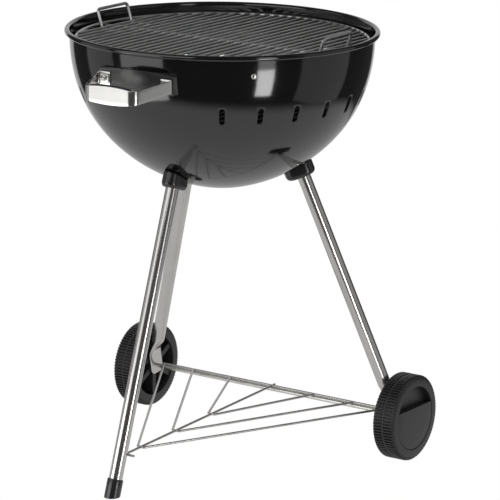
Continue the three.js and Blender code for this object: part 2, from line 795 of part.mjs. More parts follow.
function makeHandles() {
  const strap = cut(makeStrap(), handleBoltHoles(1));
  const liner = makeLiner();
  const shield = makeShield();
  const toOutside = new THREE.Matrix4().makeRotationY(Math.PI / 2);
  const bolt = moved(screw(HANDLE_BOLT.head, 3.6, HANDLE_BOLT.shank, 25), toOutside);
  const nutRadius = 5.6;
  const hexagon = moved(nut(nutRadius, HANDLE_BOLT.shank, -5, 0), toOutside);
  const insideRadius = wallRadius(RIM_HEIGHT - HANDLE_HEIGHT) - SHEET;
  const nutSeat = Math.sqrt(insideRadius ** 2 - (HANDLE_BOLT_OFFSET + nutRadius) ** 2) - 3.2;
  for (const [name, turn] of [['left', Math.PI], ['right', 0]]) {
    const place = new THREE.Matrix4().makeRotationZ(turn + radians(HANDLE_TURN));
    addPiece(`${name}_handle_strap`, moved(strap, place), 'satin_steel');
    addPiece(`${name}_handle_liner`, moved(liner, place), 'black_plastic');
    addPiece(`${name}_handle_shield`, moved(shield, place), 'black_plastic');
    for (const [end, sign] of [['a', -1], ['b', 1]]) {
      const y = sign * HANDLE_BOLT_OFFSET;
      const head = new THREE.Matrix4().makeTranslation(HANDLE_PLATE + STRAP + GAP, y, HANDLE_HEIGHT);
      addPiece(`${name}_handle_bolt_${end}`, moved(moved(bolt, head), place), 'fastener');
      const seat = new THREE.Matrix4().makeTranslation(nutSeat, y, HANDLE_HEIGHT);
      addPiece(`${name}_handle_nut_${end}`, moved(moved(hexagon, seat), place), 'fastener');
    }
  }
}

// ---- Grates ------------------------------------------------------------------------------------------

/** Parallel bars across a ring, from the last bar on one side to the last on the other. */
function grateBars(ringRadius, pitch, lastBar, wireRadius, height) {
  const bars = [];
  for (let y = -lastBar; y <= lastBar; y += pitch) {
    const reach = Math.sqrt(ringRadius ** 2 - y ** 2);
    const from = new THREE.Vector3(-reach, y, height);
    const to = new THREE.Vector3(reach, y, height);
    bars.push(bar(from, to, wireRadius, 5));
  }
  return bars;
}

function makeCookingGrate() {
  const height = RIM_HEIGHT - GRATE_DROP;
  const barHeight = height + 1;
  const bars = grateBars(GRATE_RADIUS, GRATE_PITCH, GRATE_LAST_BAR, GRATE_BAR_WIRE, barHeight);
  const crossHeight = barHeight - GRATE_BAR_WIRE - GRATE_RING_WIRE;
  const crossReach = GRATE_RADIUS - 1;
  const cross = bar(
    new THREE.Vector3(0, -crossReach, crossHeight - GAP),
    new THREE.Vector3(0, crossReach, crossHeight - GAP),
    GRATE_RING_WIRE,
  );
  const weldHeight = crossHeight + 0.6;
  const grips = [-1, 1].map((side) => {
    const half = GRIP_WIDTH / 2;
    const foot = GRATE_LAST_BAR + GRATE_BAR_WIRE + GRATE_RING_WIRE - 0.6;
    const root = GRATE_LAST_BAR - 46;
    const point = (x, y, z) => new THREE.Vector3(x, side * y, z);
    return wire(
      [
        point(-half, root, weldHeight),
        point(-half, foot, weldHeight),
        point(-half, foot + GRIP_LEAN, height + GRIP_HEIGHT),
        point(half, foot + GRIP_LEAN, height + GRIP_HEIGHT),
        point(half, foot, weldHeight),
        point(half, root, weldHeight),
      ],
      GRATE_RING_WIRE,
    );
  });
  const rim = ring(GRATE_RADIUS, GRATE_RING_WIRE, height, BOWL_SIDES);
  addPiece('cooking_grate', join([rim, ...bars, cross, ...grips]), 'grate_wire');
}

function makeCoalGrate() {
  const wireRadius = GRATE_RING_WIRE;
  const seat = depthAtWallRadius(COAL_GRATE_RADIUS + wireRadius + SHEET + 2.4);
  const height = RIM_HEIGHT - seat + wireRadius;
  const rim = ring(COAL_GRATE_RADIUS, wireRadius, height, 36);
  const barHeight = height + wireRadius;
  const bars = grateBars(COAL_GRATE_RADIUS, COAL_GRATE_PITCH, COAL_LAST_BAR, wireRadius, barHeight);
  const crosses = [-90, 90].map((x) => {
    const reach = Math.sqrt(COAL_GRATE_RADIUS ** 2 - x ** 2);
    const under = barHeight - 2 * wireRadius - GAP;
    const from = new THREE.Vector3(x, -reach, under);
    const to = new THREE.Vector3(x, reach, under);
    return bar(from, to, wireRadius, 5);
  });
  addPiece('charcoal_grate', join([rim, ...bars, ...crosses]), 'grate_wire');
}

// ---- Wire shelf between the foot leg and the axle -------------------------------------------------

function makeRack() {
  const at = (x, y, lift = 0) => new THREE.Vector3(x, y, rackHeight(x) + lift);
  const legFace = -293.7; // the stop bar lies against the foot leg's inner side
  const spine = bar(at(legFace - 12, 0), at(axleX + 9, 0), RACK_WIRE);
  const stop = bar(at(legFace, -20), at(legFace, 20), RACK_WIRE);
  const railHalf = 258;
  const rail = bar(at(axleX, -railHalf), at(axleX, railHalf), RACK_WIRE);
  const vees = [
    { apex: -246, reach: railHalf - 2 },
    { apex: -138, reach: 186 },
    { apex: -24, reach: 97 },
  ].map(({ apex, reach }) => wire(
    [at(axleX, -reach), at(apex, -7), at(apex, 7), at(axleX, reach)],
    RACK_WIRE,
  ));
  addPiece('storage_rack', join([spine, stop, rail, ...vees]), 'rack_wire');
}

makeBowl();
makeBrackets();
makeSockets();
makeFootLeg();
makeWheelLegs();
makeWheels();
makeHandles();
makeCookingGrate();
makeCoalGrate();
makeRack();

export default grill;
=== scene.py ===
# Kettle charcoal grill: an open enamelled bowl with two wire grates, standing on a tripod of
# bright steel tubes with two wheels, a plastic foot and a wire shelf.
# The sections follow the grill as it is put together, from the bowl to the shelf.
from math import acos, atan2, cos, degrees, hypot, pi, radians, sin, sqrt, tan

import bmesh
import bpy
from mathutils import Matrix, Vector


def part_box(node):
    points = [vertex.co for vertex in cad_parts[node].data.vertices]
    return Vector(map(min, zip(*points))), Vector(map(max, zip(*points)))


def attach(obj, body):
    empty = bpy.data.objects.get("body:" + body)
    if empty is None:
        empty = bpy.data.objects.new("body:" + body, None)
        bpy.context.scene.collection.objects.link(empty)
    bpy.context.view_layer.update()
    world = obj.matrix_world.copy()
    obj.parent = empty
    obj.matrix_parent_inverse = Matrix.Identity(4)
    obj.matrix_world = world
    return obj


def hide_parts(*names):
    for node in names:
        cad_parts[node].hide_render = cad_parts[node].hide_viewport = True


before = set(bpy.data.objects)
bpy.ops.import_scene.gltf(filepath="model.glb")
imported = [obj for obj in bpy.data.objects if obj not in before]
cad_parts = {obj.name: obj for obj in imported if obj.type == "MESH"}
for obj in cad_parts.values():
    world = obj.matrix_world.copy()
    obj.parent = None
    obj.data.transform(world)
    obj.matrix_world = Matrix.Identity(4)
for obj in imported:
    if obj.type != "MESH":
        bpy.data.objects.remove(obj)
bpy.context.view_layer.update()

MM = 0.001

# ---- Bowl -----------------------------------------------------------------------------------
# One deep-drawn steel pressing, 1.2 mm thick, its rim rolled outwards into a curl. Two groups
# of eight round-ended slots are punched through the wall, and the whole bowl is dipped in
# black glass enamel, which flows a little before it is fired.

RIM_HEIGHT = 809
BOWL_RADIUS = 279
BOWL_DEPTH = 295
WALL_POWERS = (2.32, 1.75)  # how full the curve is towards the floor and towards the rim
SHEET = 1.2
CURL_RADIUS = 4.5
CURL_CENTRE = (282.9, RIM_HEIGHT - 5.1)
SLOT_DEPTH = 113
SLOT_HALF_WIDTH = 5
SLOT_HALF_LENGTH = 16.5
SLOT_ROWS = 5  # rows of faces from a slot's middle to its end
SLOT_ANGLES = [*range(-145, -39, 15), *range(35, 141, 15)]  # whole degrees
UPPER_ROWS = 13  # rows of faces above the slots
LOWER_ROWS = 34  # and below them
WALL_START = 12  # depth at which the curl has run into the wall


def wall_radius(depth):
    rest = max(0, 1 - (depth / BOWL_DEPTH) ** WALL_POWERS[0])
    return BOWL_RADIUS * rest ** (1 / WALL_POWERS[1])


def wall_normal(depth):
    """Outward and upward parts of the wall's normal."""
    step = 0.05
    run = (wall_radius(depth + step) - wall_radius(depth - step)) / (2 * step)
    return 1 / hypot(1, run), run / hypot(1, run)


def wall_point(angle, depth, offset=0):
    """A point on the bowl's wall, moved outwards by an offset."""
    out, up = wall_normal(depth)
    radius = wall_radius(depth) + out * offset
    height = RIM_HEIGHT - depth + up * offset
    return Vector((radius * cos(angle), radius * sin(angle), height)) * MM


def draw_skin(bm, rows, closed=True):
    """A skin drawn through rows of points, each row extruded from the one before."""
    first = [bm.verts.new(point) for point in rows[0]]
    ends = first[1:] + first[:1] if closed else first[1:]
    edges = [bm.edges.new(pair) for pair in zip(first, ends)]
    verts = first
    for row in rows[1:]:
        grown = bmesh.ops.extrude_edge_only(bm, edges=edges)["geom"]
        fresh = {item for item in grown if isinstance(item, bmesh.types.BMVert)}
        edges = [item for item in grown if isinstance(item, bmesh.types.BMEdge)
                 and set(item.verts) <= fresh]
        verts = [next(edge.other_vert(vert) for edge in vert.link_edges
                      if edge.other_vert(vert) in fresh) for vert in verts]
        for vert, point in zip(verts, row):
            vert.co = point
    return first, verts


def finish_piece(name, bm, material, body, nodes=(), sharp=35):
    """Makes the mesh an object with soft shading that rides on a body of the grill."""
    mesh = bpy.data.meshes.new(name)
    bm.to_mesh(mesh)
    bm.free()
    mesh.polygons.foreach_set("use_smooth", [True] * len(mesh.polygons))
    mesh.set_sharp_from_angle(angle=radians(sharp))
    mesh.materials.append(material)
    piece = bpy.data.objects.new(name, mesh)
    bpy.context.scene.collection.objects.link(piece)
    if nodes:
        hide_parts(*nodes)
    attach(piece, body)
    return piece


def round_edges(piece, width, segments=2, angle=40):
    bevel = piece.modifiers.new("rounded_edges", "BEVEL")
    bevel.width = width * MM
    bevel.segments = segments
    bevel.limit_method = "ANGLE"
    bevel.angle_limit = radians(angle)


def new_group(name, inputs, outputs):
    """An empty shader group; inputs and outputs are (name, socket type, default)."""
    group = bpy.data.node_groups.new(name, "ShaderNodeTree")
    for title, kind, default in inputs:
        socket = group.interface.new_socket(title, in_out="INPUT", socket_type=kind)
        if default is not None:
            socket.default_value = default
    for title, kind in outputs:
        group.interface.new_socket(title, in_out="OUTPUT", socket_type=kind)
    return group, group.nodes.new("NodeGroupInput"), group.nodes.new("NodeGroupOutput")


# Unevenness of a surface: cloudy patches and fine grain in colour, gloss and height.
uneven, given, result = new_group(
    "uneven_surface",
    [("Color", "NodeSocketColor", None), ("Roughness", "NodeSocketFloat", 0.3),
     ("Cloud Scale", "NodeSocketFloat", 12), ("Grain Scale", "NodeSocketFloat", 900),
     ("Amount", "NodeSocketFloat", 0.3)],
    [("Color", "NodeSocketColor"), ("Roughness", "NodeSocketFloat"),
     ("Height", "NodeSocketFloat")])
place = uneven.nodes.new("ShaderNodeTexCoord")
clouds = uneven.nodes.new("ShaderNodeTexNoise")
clouds.inputs["Detail"].default_value = 4
grain = uneven.nodes.new("ShaderNodeTexNoise")
grain.inputs["Detail"].default_value = 2
uneven.links.new(place.outputs["Object"], clouds.inputs["Vector"])
uneven.links.new(place.outputs["Object"], grain.inputs["Vector"])
uneven.links.new(given.outputs["Cloud Scale"], clouds.inputs["Scale"])
uneven.links.new(given.outputs["Grain Scale"], grain.inputs["Scale"])
both = uneven.nodes.new("ShaderNodeMath")
both.operation = "ADD"
uneven.links.new(clouds.outputs["Fac"], both.inputs[0])
uneven.links.new(grain.outputs["Fac"], both.inputs[1])
swing = uneven.nodes.new("ShaderNodeMath")
swing.operation = "SUBTRACT"
swing.inputs[1].default_value = 1
uneven.links.new(both.outputs[0], swing.inputs[0])
share = uneven.nodes.new("ShaderNodeMath")
share.operation = "MULTIPLY_ADD"
share.inputs[2].default_value = 1
uneven.links.new(swing.outputs[0], share.inputs[0])
uneven.links.new(given.outputs["Amount"], share.inputs[1])
tinted = uneven.nodes.new("ShaderNodeVectorMath")
tinted.operation = "SCALE"
uneven.links.new(given.outputs["Color"], tinted.inputs[0])
uneven.links.new(share.outputs[0], tinted.inputs["Scale"])
uneven.links.new(tinted.outputs[0], result.inputs["Color"])
glossed = uneven.nodes.new("ShaderNodeMath")
glossed.operation = "MULTIPLY"
uneven.links.new(given.outputs["Roughness"], glossed.inputs[0])
uneven.links.new(share.outputs[0], glossed.inputs[1])
uneven.links.new(glossed.outputs[0], result.inputs["Roughness"])
uneven.links.new(grain.outputs["Fac"], result.inputs["Height"])


def surface_material(name, color, roughness, metallic=0, cloud_scale=12, grain_scale=900,
                     amount=0.3, bump=0.1, bump_depth=0.02, shine=0.5):
    """A finish with uneven colour and gloss, and a fine raised grain."""
    material = bpy.data.materials.new(name)
    material.use_nodes = True
    tree = material.node_tree
    shader = tree.nodes["Principled BSDF"]
    shader.inputs["Metallic"].default_value = metallic
    shader.inputs["Specular IOR Level"].default_value = shine
    surface = tree.nodes.new("ShaderNodeGroup")
    surface.node_tree = uneven
    surface.inputs["Color"].default_value = (*color, 1)
    surface.inputs["Roughness"].default_value = roughness
    surface.inputs["Cloud Scale"].default_value = cloud_scale
    surface.inputs["Grain Scale"].default_value = grain_scale
    surface.inputs["Amount"].default_value = amount
    relief = tree.nodes.new("ShaderNodeBump")
    relief.inputs["Strength"].default_value = bump
    relief.inputs["Distance"].default_value = bump_depth * MM
    tree.links.new(surface.outputs["Color"], shader.inputs["Base Color"])
    tree.links.new(surface.outputs["Roughness"], shader.inputs["Roughness"])
    tree.links.new(surface.outputs["Height"], relief.inputs["Height"])
    tree.links.new(relief.outputs["Normal"], shader.inputs["Normal"])
    return material


enamel = surface_material("black_enamel", (0.004, 0.004, 0.0045), 0.09, cloud_scale=9,
                          grain_scale=160, amount=0.35, bump=0.12, bump_depth=0.08, shine=1)

curl = []
for step in range(15):
    turn = radians(-105 + 285 * step / 14)
    curl.append((CURL_CENTRE[0] + CURL_RADIUS * cos(turn), CURL_CENTRE[1] + CURL_RADIUS * sin(turn)))
slot_tilt = wall_normal(SLOT_DEPTH)[0]  # share of a length along the wall that is height
slot_step = SLOT_HALF_LENGTH / SLOT_ROWS * slot_tilt
slot_rows = range(-SLOT_ROWS - 1, SLOT_ROWS + 2)
slot_depths = [SLOT_DEPTH + row * slot_step for row in slot_rows]
upper_depths = [WALL_START + (slot_depths[0] - WALL_START) * step / UPPER_ROWS
                for step in range(UPPER_ROWS)]
lower_start = slot_depths[-1]
lower_turn = degrees(acos(lower_start / BOWL_DEPTH))
lower_depths = [BOWL_DEPTH * cos(radians(lower_turn * (1 - step / LOWER_ROWS)))
                for step in range(1, LOWER_ROWS)]
profile = list(curl)
for depth in [*upper_depths, *slot_depths, *lower_depths]:
    point = wall_point(0, depth, -SHEET / 2) / MM
    profile.append((point.x, point.z))
profile.append((0, RIM_HEIGHT - BOWL_DEPTH + SHEET / 2))

bm = bmesh.new()
outline = [bm.verts.new((radius * MM, 0, height * MM)) for radius, height in profile]
line = [bm.edges.new(pair) for pair in zip(outline, outline[1:])]
bmesh.ops.spin(bm, geom=[*outline, *line], axis=(0, 0, 1), cent=(0, 0, 0), angle=2 * pi,
               steps=360, use_merge=True)
bmesh.ops.remove_doubles(bm, verts=bm.verts, dist=1e-6)
bmesh.ops.recalc_face_normals(bm, faces=bm.faces)

wall_grid = {}
band = [wall_point(0, depth, -SHEET / 2).z / MM for depth in slot_depths]
for vert in bm.verts:
    for row, height in zip(slot_rows, band):
        if abs(vert.co.z / MM - height) < 0.01:
            column = round(degrees(atan2(vert.co.y, vert.co.x))) % 360
            wall_grid[column, row] = vert
punched = []
for angle in SLOT_ANGLES:
    middle = angle % 360
    punched += [wall_grid[middle, row] for row in range(1 - SLOT_ROWS, SLOT_ROWS)]
    straight = SLOT_HALF_LENGTH - SLOT_HALF_WIDTH
    for side in (-1, 0, 1):
        for row in range(-SLOT_ROWS, SLOT_ROWS + 1):
            if side == 0 and abs(row) < SLOT_ROWS:
                continue
            across, along = side * SLOT_HALF_WIDTH, SLOT_HALF_LENGTH / SLOT_ROWS * row
            if abs(row) >= SLOT_ROWS - 1:
                turn = radians(90 if side == 0 else 20 if abs(row) < SLOT_ROWS else 55)
                across = side * SLOT_HALF_WIDTH * cos(turn)
                along = (straight + SLOT_HALF_WIDTH * sin(turn)) * (1 if row > 0 else -1)
            depth = SLOT_DEPTH + along * slot_tilt
            spot = radians(angle) + across / wall_radius(depth)
            wall_grid[(middle + side) % 360, row].co = wall_point(spot, depth, -SHEET / 2)
bmesh.ops.delete(bm, geom=punched, context="VERTS")
bowl = finish_piece("bowl_enamelled", bm, enamel, "frame", ["bowl"])
wall = bowl.modifiers.new("sheet", "SOLIDIFY")
wall.thickness = SHEET * MM
wall.offset = 0
round_edges(bowl, 0.35)

# ---- Grate brackets ---------------------------------------------------------------------------
# Three angle brackets of folded zinc-plated sheet carry the cooking grate. Each is held by one
# dome-head screw from outside, whose head shows on the wall, and a hexagon nut inside.

BRACKETS = {"front": -133.5, "right": -23.5, "rear": 106.5}  # degrees round the bowl
BRACKET_SCREW_DEPTH = 37
HEAD_GAP = 0.3  # between a screw's head and the sheet under it

zinc = surface_material("zinc_plate", (0.78, 0.77, 0.74), 0.26, metallic=1, cloud_scale=60,
                        grain_scale=1500, amount=0.35, bump=0.15)


def dome_screw(bm, place, head, height, shank, length):
    """A screw with a low domed head, seated at the place's origin along its +Z."""
    rows = []
    for step in range(8):
        turn = radians(90 * step / 8)
        rows.append((head * sin(turn), height * (0.25 + 0.75 * cos(turn))))
    rows += [(head, height * 0.25), (head, 0), (shank, 0), (shank, -length + 0.6)]
    rows += [(shank - 0.6, -length), (0, -length)]
    line = [bm.verts.new((radius * MM, 0, level * MM)) for radius, level in rows]
    edges = [bm.edges.new(pair) for pair in zip(line, line[1:])]
    bmesh.ops.spin(bm, geom=[*line, *edges], axis=(0, 0, 1), cent=(0, 0, 0), angle=2 * pi,
                   steps=28, use_merge=True)
    bmesh.ops.remove_doubles(bm, verts=bm.verts, dist=1e-6)
    bmesh.ops.recalc_face_normals(bm, faces=bm.faces)
    bmesh.ops.transform(bm, matrix=place, verts=bm.verts)


def wall_place(angle, depth, lift):
    """A place on the wall with its Z outwards."""
    out, up = wall_normal(depth)
    outward = Vector((out * cos(angle), out * sin(angle), up))
    along = Vector((-sin(angle), cos(angle), 0))
    turn = Matrix((along, outward.cross(along), outward)).transposed().to_4x4()
    return Matrix.Translation(wall_point(angle, depth, lift)) @ turn


for name, angle in BRACKETS.items():
    bm = bmesh.new()
    seat = wall_place(radians(angle), BRACKET_SCREW_DEPTH, HEAD_GAP)
    dome_screw(bm, seat, head=5.4, height=3.4, shank=2.4, length=11)
    finish_piece(f"bracket_dome_screw_{name}", bm, zinc, "frame",
                 [f"bracket_screw_{name}"])
    for node in (f"grate_bracket_{name}", f"bracket_nut_{name}"):
        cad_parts[node].data.materials.clear()
        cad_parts[node].data.materials.append(zinc)

# ---- Leg sockets --------------------------------------------------------------------------------
# Black moulded saddles that fit the bowl's curve, each with a bore for a leg tube in its flat
# lower face. A screw from inside the bowl draws the plug in the tube's end up against it.

LEGS = {"foot": (180, 0.335), "front": (-57.65, 0.398), "rear": (57.65, 0.398)}  # turn, slope
LEG_LINE = (159, 519)  # every leg's centre line passes this radius at this height
SOCKET_HALF = (28.5, 17)  # half length up the wall, half width
SOCKET_SHIFT = 4  # towards the bowl's middle
SOCKET_MOUTH = 24
SOCKET_GAP = 0.4  # between a socket and the bowl
TUBE = 12.5
TUBE_START = 10.3  # below the bowl

moulded = surface_material("moulded_black", (0.011, 0.011, 0.0115), 0.24, cloud_scale=25,
                           grain_scale=1400, amount=0.3, bump=0.15, bump_depth=0.04, shine=0.8)


def leg_place(angle, slope):
    """Where a leg's centre line meets the bowl: +Z runs down the leg, Y lies along the rim."""
    low, high = RIM_HEIGHT - BOWL_DEPTH, RIM_HEIGHT - BOWL_DEPTH / 2
    for step in range(40):
        height = (low + high) / 2
        if LEG_LINE[0] + slope * (LEG_LINE[1] - height) > wall_radius(RIM_HEIGHT - height):
            low = height
        else:
            high = height
    turn = radians(angle)
    down = Vector((slope * cos(turn), slope * sin(turn), -1)).normalized()
    along = Vector((-sin(turn), cos(turn), 0))
    radius = LEG_LINE[0] + slope * (LEG_LINE[1] - low)
    origin = Vector((radius * cos(turn), radius * sin(turn), low))
    turned = Matrix((along.cross(down), along, down)).transposed().to_4x4()
    return Matrix.Translation(origin) @ turned


def slide_to_wall(place, x, y, gap):
    """The height along a leg at which a line beside it reaches the bowl's wall."""
    low, high = -60.0, 60.0
    for step in range(40):
        middle = (low + high) / 2
        point = place @ Vector((x, y, middle))
        depth = RIM_HEIGHT - point.z
        inside = depth < BOWL_DEPTH and hypot(point.x, point.y) < wall_radius(depth) + gap
        if inside:
            low = middle
        else:
            high = middle
    return high


def slot_ring(half_length, half_width, count=48):
    """Points round a slot shape, its long side along X."""
    points = []
    for step in range(count):
        turn = 2 * pi * (step + 0.5) / count
        shift = (half_length - half_width) * (1 if cos(turn) > 0 else -1)
        points.append((shift + half_width * cos(turn), half_width * sin(turn)))
    return points


places = {name: leg_place(*leg) for name, leg in LEGS.items()}
for name, place in places.items():
    rows = []
    length, width = SOCKET_HALF
    for inset, lift in ((3, 0), (1.2, 1.6), (0.3, 3.2), (0, 5)):
        ring = slot_ring(length - inset, width - inset * 0.4)
        ring = [(SOCKET_SHIFT + x, y) for x, y in ring]
        rows.append([(x, y, slide_to_wall(place, x, y, SOCKET_GAP) + lift) for x, y in ring])
    for step in range(9):
        turn = radians(90 * step / 8)
        long, narrow = length - 7.5 * (1 - cos(turn)), width - 3 * (1 - cos(turn))
        rows.append([(SOCKET_SHIFT + x, y, SOCKET_MOUTH - 9 + 9 * sin(turn))
                     for x, y in slot_ring(long, narrow)])
    for radius, level in ((TUBE + 0.7, SOCKET_MOUTH), (TUBE + 0.3, SOCKET_MOUTH - 0.4),
                          (TUBE + 0.3, 11)):
        rows.append([(x, y, level) for x, y in slot_ring(radius, radius)])
    bm = bmesh.new()
    draw_skin(bm, [[place @ Vector(point) * MM for point in row] for row in rows])
    bmesh.ops.recalc_face_normals(bm, faces=bm.faces)
    socket = finish_piece(f"leg_saddle_{name}", bm, moulded, "frame",
                          [f"leg_socket_{name}"])
    shell = socket.modifiers.new("moulding", "SOLIDIFY")
    shell.thickness = 0.8 * MM
    shell.offset = -1
    bm = bmesh.new()
    inside = Matrix.Translation((0, 0, -4)) @ Matrix.Rotation(pi, 4, "X")
    seat = Matrix.Scale(MM, 4) @ place @ inside
    dome_screw(bm, seat @ Matrix.Scale(1 / MM, 4), head=7, height=4, shank=3, length=28)
    finish_piece(f"saddle_screw_{name}", bm, zinc, "frame", [f"socket_screw_{name}"])
    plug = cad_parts[f"leg_plug_{name}"].data.materials
    plug.clear()
    plug.append(zinc)

# ---- Foot leg -----------------------------------------------------------------------------------
# A straight tube of bright nickel-chrome plated steel, drawn and polished along its length,
# which ends in a black push-on plastic cap with a flat sole.

BORE = TUBE - 1.2
CAP_WALL = 2  # of the foot cap, round the tube

bright_tube = surface_material("bright_plated_tube", (0.66, 0.65, 0.63), 0.2, metallic=1,
                               cloud_scale=16, grain_scale=700, amount=0.25, bump=0.06,
                               bump_depth=0.01)


def circle_points(radius, level, count=48):
    return [(radius * cos(2 * pi * step / count), radius * sin(2 * pi * step / count), level)
            for step in range(count)]


def reach_to(place, height):
    """Distance down a leg's centre line to a height."""
    origin, down = place.translation, place.col[2]
    return (origin.z - height) / -down.z


place = places["foot"]
tube_end = reach_to(place, 8)  # the tube stops 8 mm above the ground
bm = bmesh.new()
levels = [TUBE_START, 11, *[11 + (tube_end - 11) * step / 12 for step in range(1, 13)]]
rows = [circle_points(BORE, 16), circle_points(BORE, TUBE_START)]
rows += [circle_points(TUBE, level) for level in levels]
rows += [circle_points(BORE, tube_end), circle_points(BORE, tube_end - 6)]
draw_skin(bm, [[place @ Vector(point) * MM for point in row] for row in rows])
bmesh.ops.recalc_face_normals(bm, faces=bm.faces)
finish_piece("foot_leg_tube", bm, bright_tube, "frame", ["foot_leg"])

bm = bmesh.new()
rows = [circle_points(radius, tube_end + level) for radius, level in (
    (TUBE + 0.3, 0.3), (TUBE + 0.3, -23), (TUBE + 0.8, -24), (TUBE + 1.5, -23.8),
    (TUBE + CAP_WALL, -22.8), (TUBE + CAP_WALL, -8), (TUBE + CAP_WALL, 16))]
first, last = draw_skin(bm, [[place @ Vector(point) * MM for point in row] for row in rows])
bmesh.ops.contextual_create(bm, geom=first)
bmesh.ops.contextual_create(bm, geom=last)
cut = bmesh.ops.bisect_plane(bm, geom=[*bm.verts, *bm.edges, *bm.faces], plane_co=(0, 0, 0),
                             plane_no=(0, 0, -1), clear_outer=True)["geom_cut"]
sole = [item for item in cut if isinstance(item, bmesh.types.BMEdge)]
bmesh.ops.contextual_create(bm, geom=sole)
bmesh.ops.recalc_face_normals(bm, faces=bm.faces)
cap = finish_piece("foot_cap_moulded", bm, moulded, "frame", ["foot_cap"])
round_edges(cap, 0.8)

# ---- Wheel legs ----------------------------------------------------------------------------------
# The same bright tube, its lower end pressed flat in a die and bored for the axle rod. The
# pressed end is wider than the tube and its corners are rounded off.

AXLE_HEIGHT = 81
LEG_END = 275  # distance of the pressed ends from the grill's middle plane
END_HALF_THICKNESS = 2.5
END_HALF_WIDTH = 17
END_CORNER = 12  # radius

for name, side in (("front", -1), ("rear", 1)):
    place = places[name]
    origin, down = place.translation, place.col[2].to_3d()
    across = (Vector((1, 0, 0)) - down * down.x).normalized()
    through = down.cross(across)
    sideways = Vector((0, 1 if through.y > 0 else -1, 0))
    start, end = TUBE_START, reach_to(place, AXLE_HEIGHT - 14)
    press_start, press_end = reach_to(place, AXLE_HEIGHT + 62), reach_to(place, AXLE_HEIGHT + 20)
    stations = [start, start + 0.6, 60, 200, 330]
    stations += [press_start - 20 + (end - press_start + 20) * step / 40 for step in range(41)]
    rows = []
    for down_leg in stations:
        press = min(1, max(0, (down_leg - press_start) / (press_end - press_start)))
        press = press * press * (3 - 2 * press)
        left = end - down_leg
        corner = 1
        if left <= END_CORNER:
            corner = 0.62 + 0.38 * sqrt(max(0, 1 - (1 - left / END_CORNER) ** 2))
        thick = TUBE + (END_HALF_THICKNESS - TUBE) * press
        wide = (TUBE + (END_HALF_WIDTH - TUBE) * press) * (1 + (corner - 1) * press)
        normal = through.lerp(sideways, press).normalized()
        centre = origin + down * down_leg
        centre.y += (side * LEG_END - centre.y) * press
        row = []
        for step in range(48):
            turn = 2 * pi * step / 48
            x, z = cos(turn), sin(turn)
            flat = 1 - 0.62 * press  # the section squares up as it is pressed
            x = abs(x) ** flat * (1 if x > 0 else -1)
            z = abs(z) ** flat * (1 if z > 0 else -1)
            row.append((centre + across * x * wide + normal * z * thick) * MM)
        rows.append(row)
    bm = bmesh.new()
    first, last = draw_skin(bm, rows)
    bmesh.ops.contextual_create(bm, geom=first)
    bmesh.ops.contextual_create(bm, geom=last)
    bmesh.ops.recalc_face_normals(bm, faces=bm.faces)
    finish_piece(f"{name}_wheel_leg_tube", bm, bright_tube, "frame",
                 [f"{name}_wheel_leg"])

# ---- Axle --------------------------------------------------------------------------------------
# An 8 mm zinc-plated rod from wheel to wheel, with a washer inside each wheel and a pressed
# cap pushed on each end.

AXLE_X = places["front"].translation.x + places["front"].col[2].x * reach_to(
    places["front"], AXLE_HEIGHT)
WHEEL_MIDDLE = 299.5


def lathe_piece(outline, steps, place):
    """Spins an outline of (radius, level) points about the place's Z and returns the bmesh."""
    bm = bmesh.new()
    line = [bm.verts.new((radius * MM, 0, level * MM)) for radius, level in outline]
    edges = [bm.edges.new(pair) for pair in zip(line, line[1:])]
    if outline[0][0] and outline[-1][0]:
        edges.append(bm.edges.new((line[-1], line[0])))
    bmesh.ops.spin(bm, geom=[*line, *edges], axis=(0, 0, 1), cent=(0, 0, 0), angle=2 * pi,
                   steps=steps, use_merge=True)
    bmesh.ops.remove_doubles(bm, verts=bm.verts, dist=1e-6)
    bmesh.ops.recalc_face_normals(bm, faces=bm.faces)
    bmesh.ops.transform(bm, matrix=place, verts=bm.verts)
    return bm


def wheel_place(side):
    """A wheel's middle, its Z outwards and its Y up."""
    turned = Matrix(((side * -1, 0, 0), (0, 0, side), (0, 1, 0))).to_4x4()
    return Matrix.Translation((AXLE_X * MM, side * WHEEL_MIDDLE * MM, AXLE_HEIGHT * MM)) @ turned


along_axle = Matrix.Translation((AXLE_X * MM, 0, AXLE_HEIGHT * MM)) @ Matrix.Rotation(pi / 2, 4, "X")
rod = lathe_piece([(0, -313), (3.4, -313), (4, -312.4), (4, 312.4), (3.4, 313), (0, 313)], 32,
                  along_axle)
finish_piece("axle_rod", rod, zinc, "frame", ["axle"])
for name, side in (("front", -1), ("rear", 1)):
    washer = lathe_piece([(4.3, -21.7), (9.7, -21.7), (10, -21.4), (10, -20.5), (9.7, -20.2),
                          (4.3, -20.2)], 32, wheel_place(side))
    finish_piece(f"{name}_washer", washer, zinc, "frame", [f"{name}_axle_washer"])
    cap = lathe_piece([(0, 15.3), (4.6, 15.3), (5.5, 14.6), (6.3, 12.4), (7.6, 11.8), (8, 11.2),
                       (8, 9.8), (4.3, 9.8), (4.3, 14.1), (0, 14.1)], 28, wheel_place(side))
    finish_piece(f"{name}_axle_push_cap", cap, zinc, "frame", [f"{name}_axle_cap"])

# ---- Wheels --------------------------------------------------------------------------------------
# Injection-moulded dark grey wheels, 162 mm across, with two rows of cross lugs beside a
# lower central rib, a web with six deep ribs and a hub. A moulded disc clips into the outer
# face and leaves a D-shaped opening above the axle.

WHEEL_RADIUS = AXLE_HEIGHT
RIB_RADIUS = 79.2
LUGS = 84
LUG_STEPS = 6  # columns of faces to a lug and the groove beside it
GROOVE_DEPTH = 3.4
DISC_CHORD = 20  # height of the disc's straight edge above the axle

wheel_grey = surface_material("wheel_plastic", (0.022, 0.022, 0.0235), 0.42, cloud_scale=18,
                              grain_scale=1100, amount=0.25, bump=0.3, bump_depth=0.06)

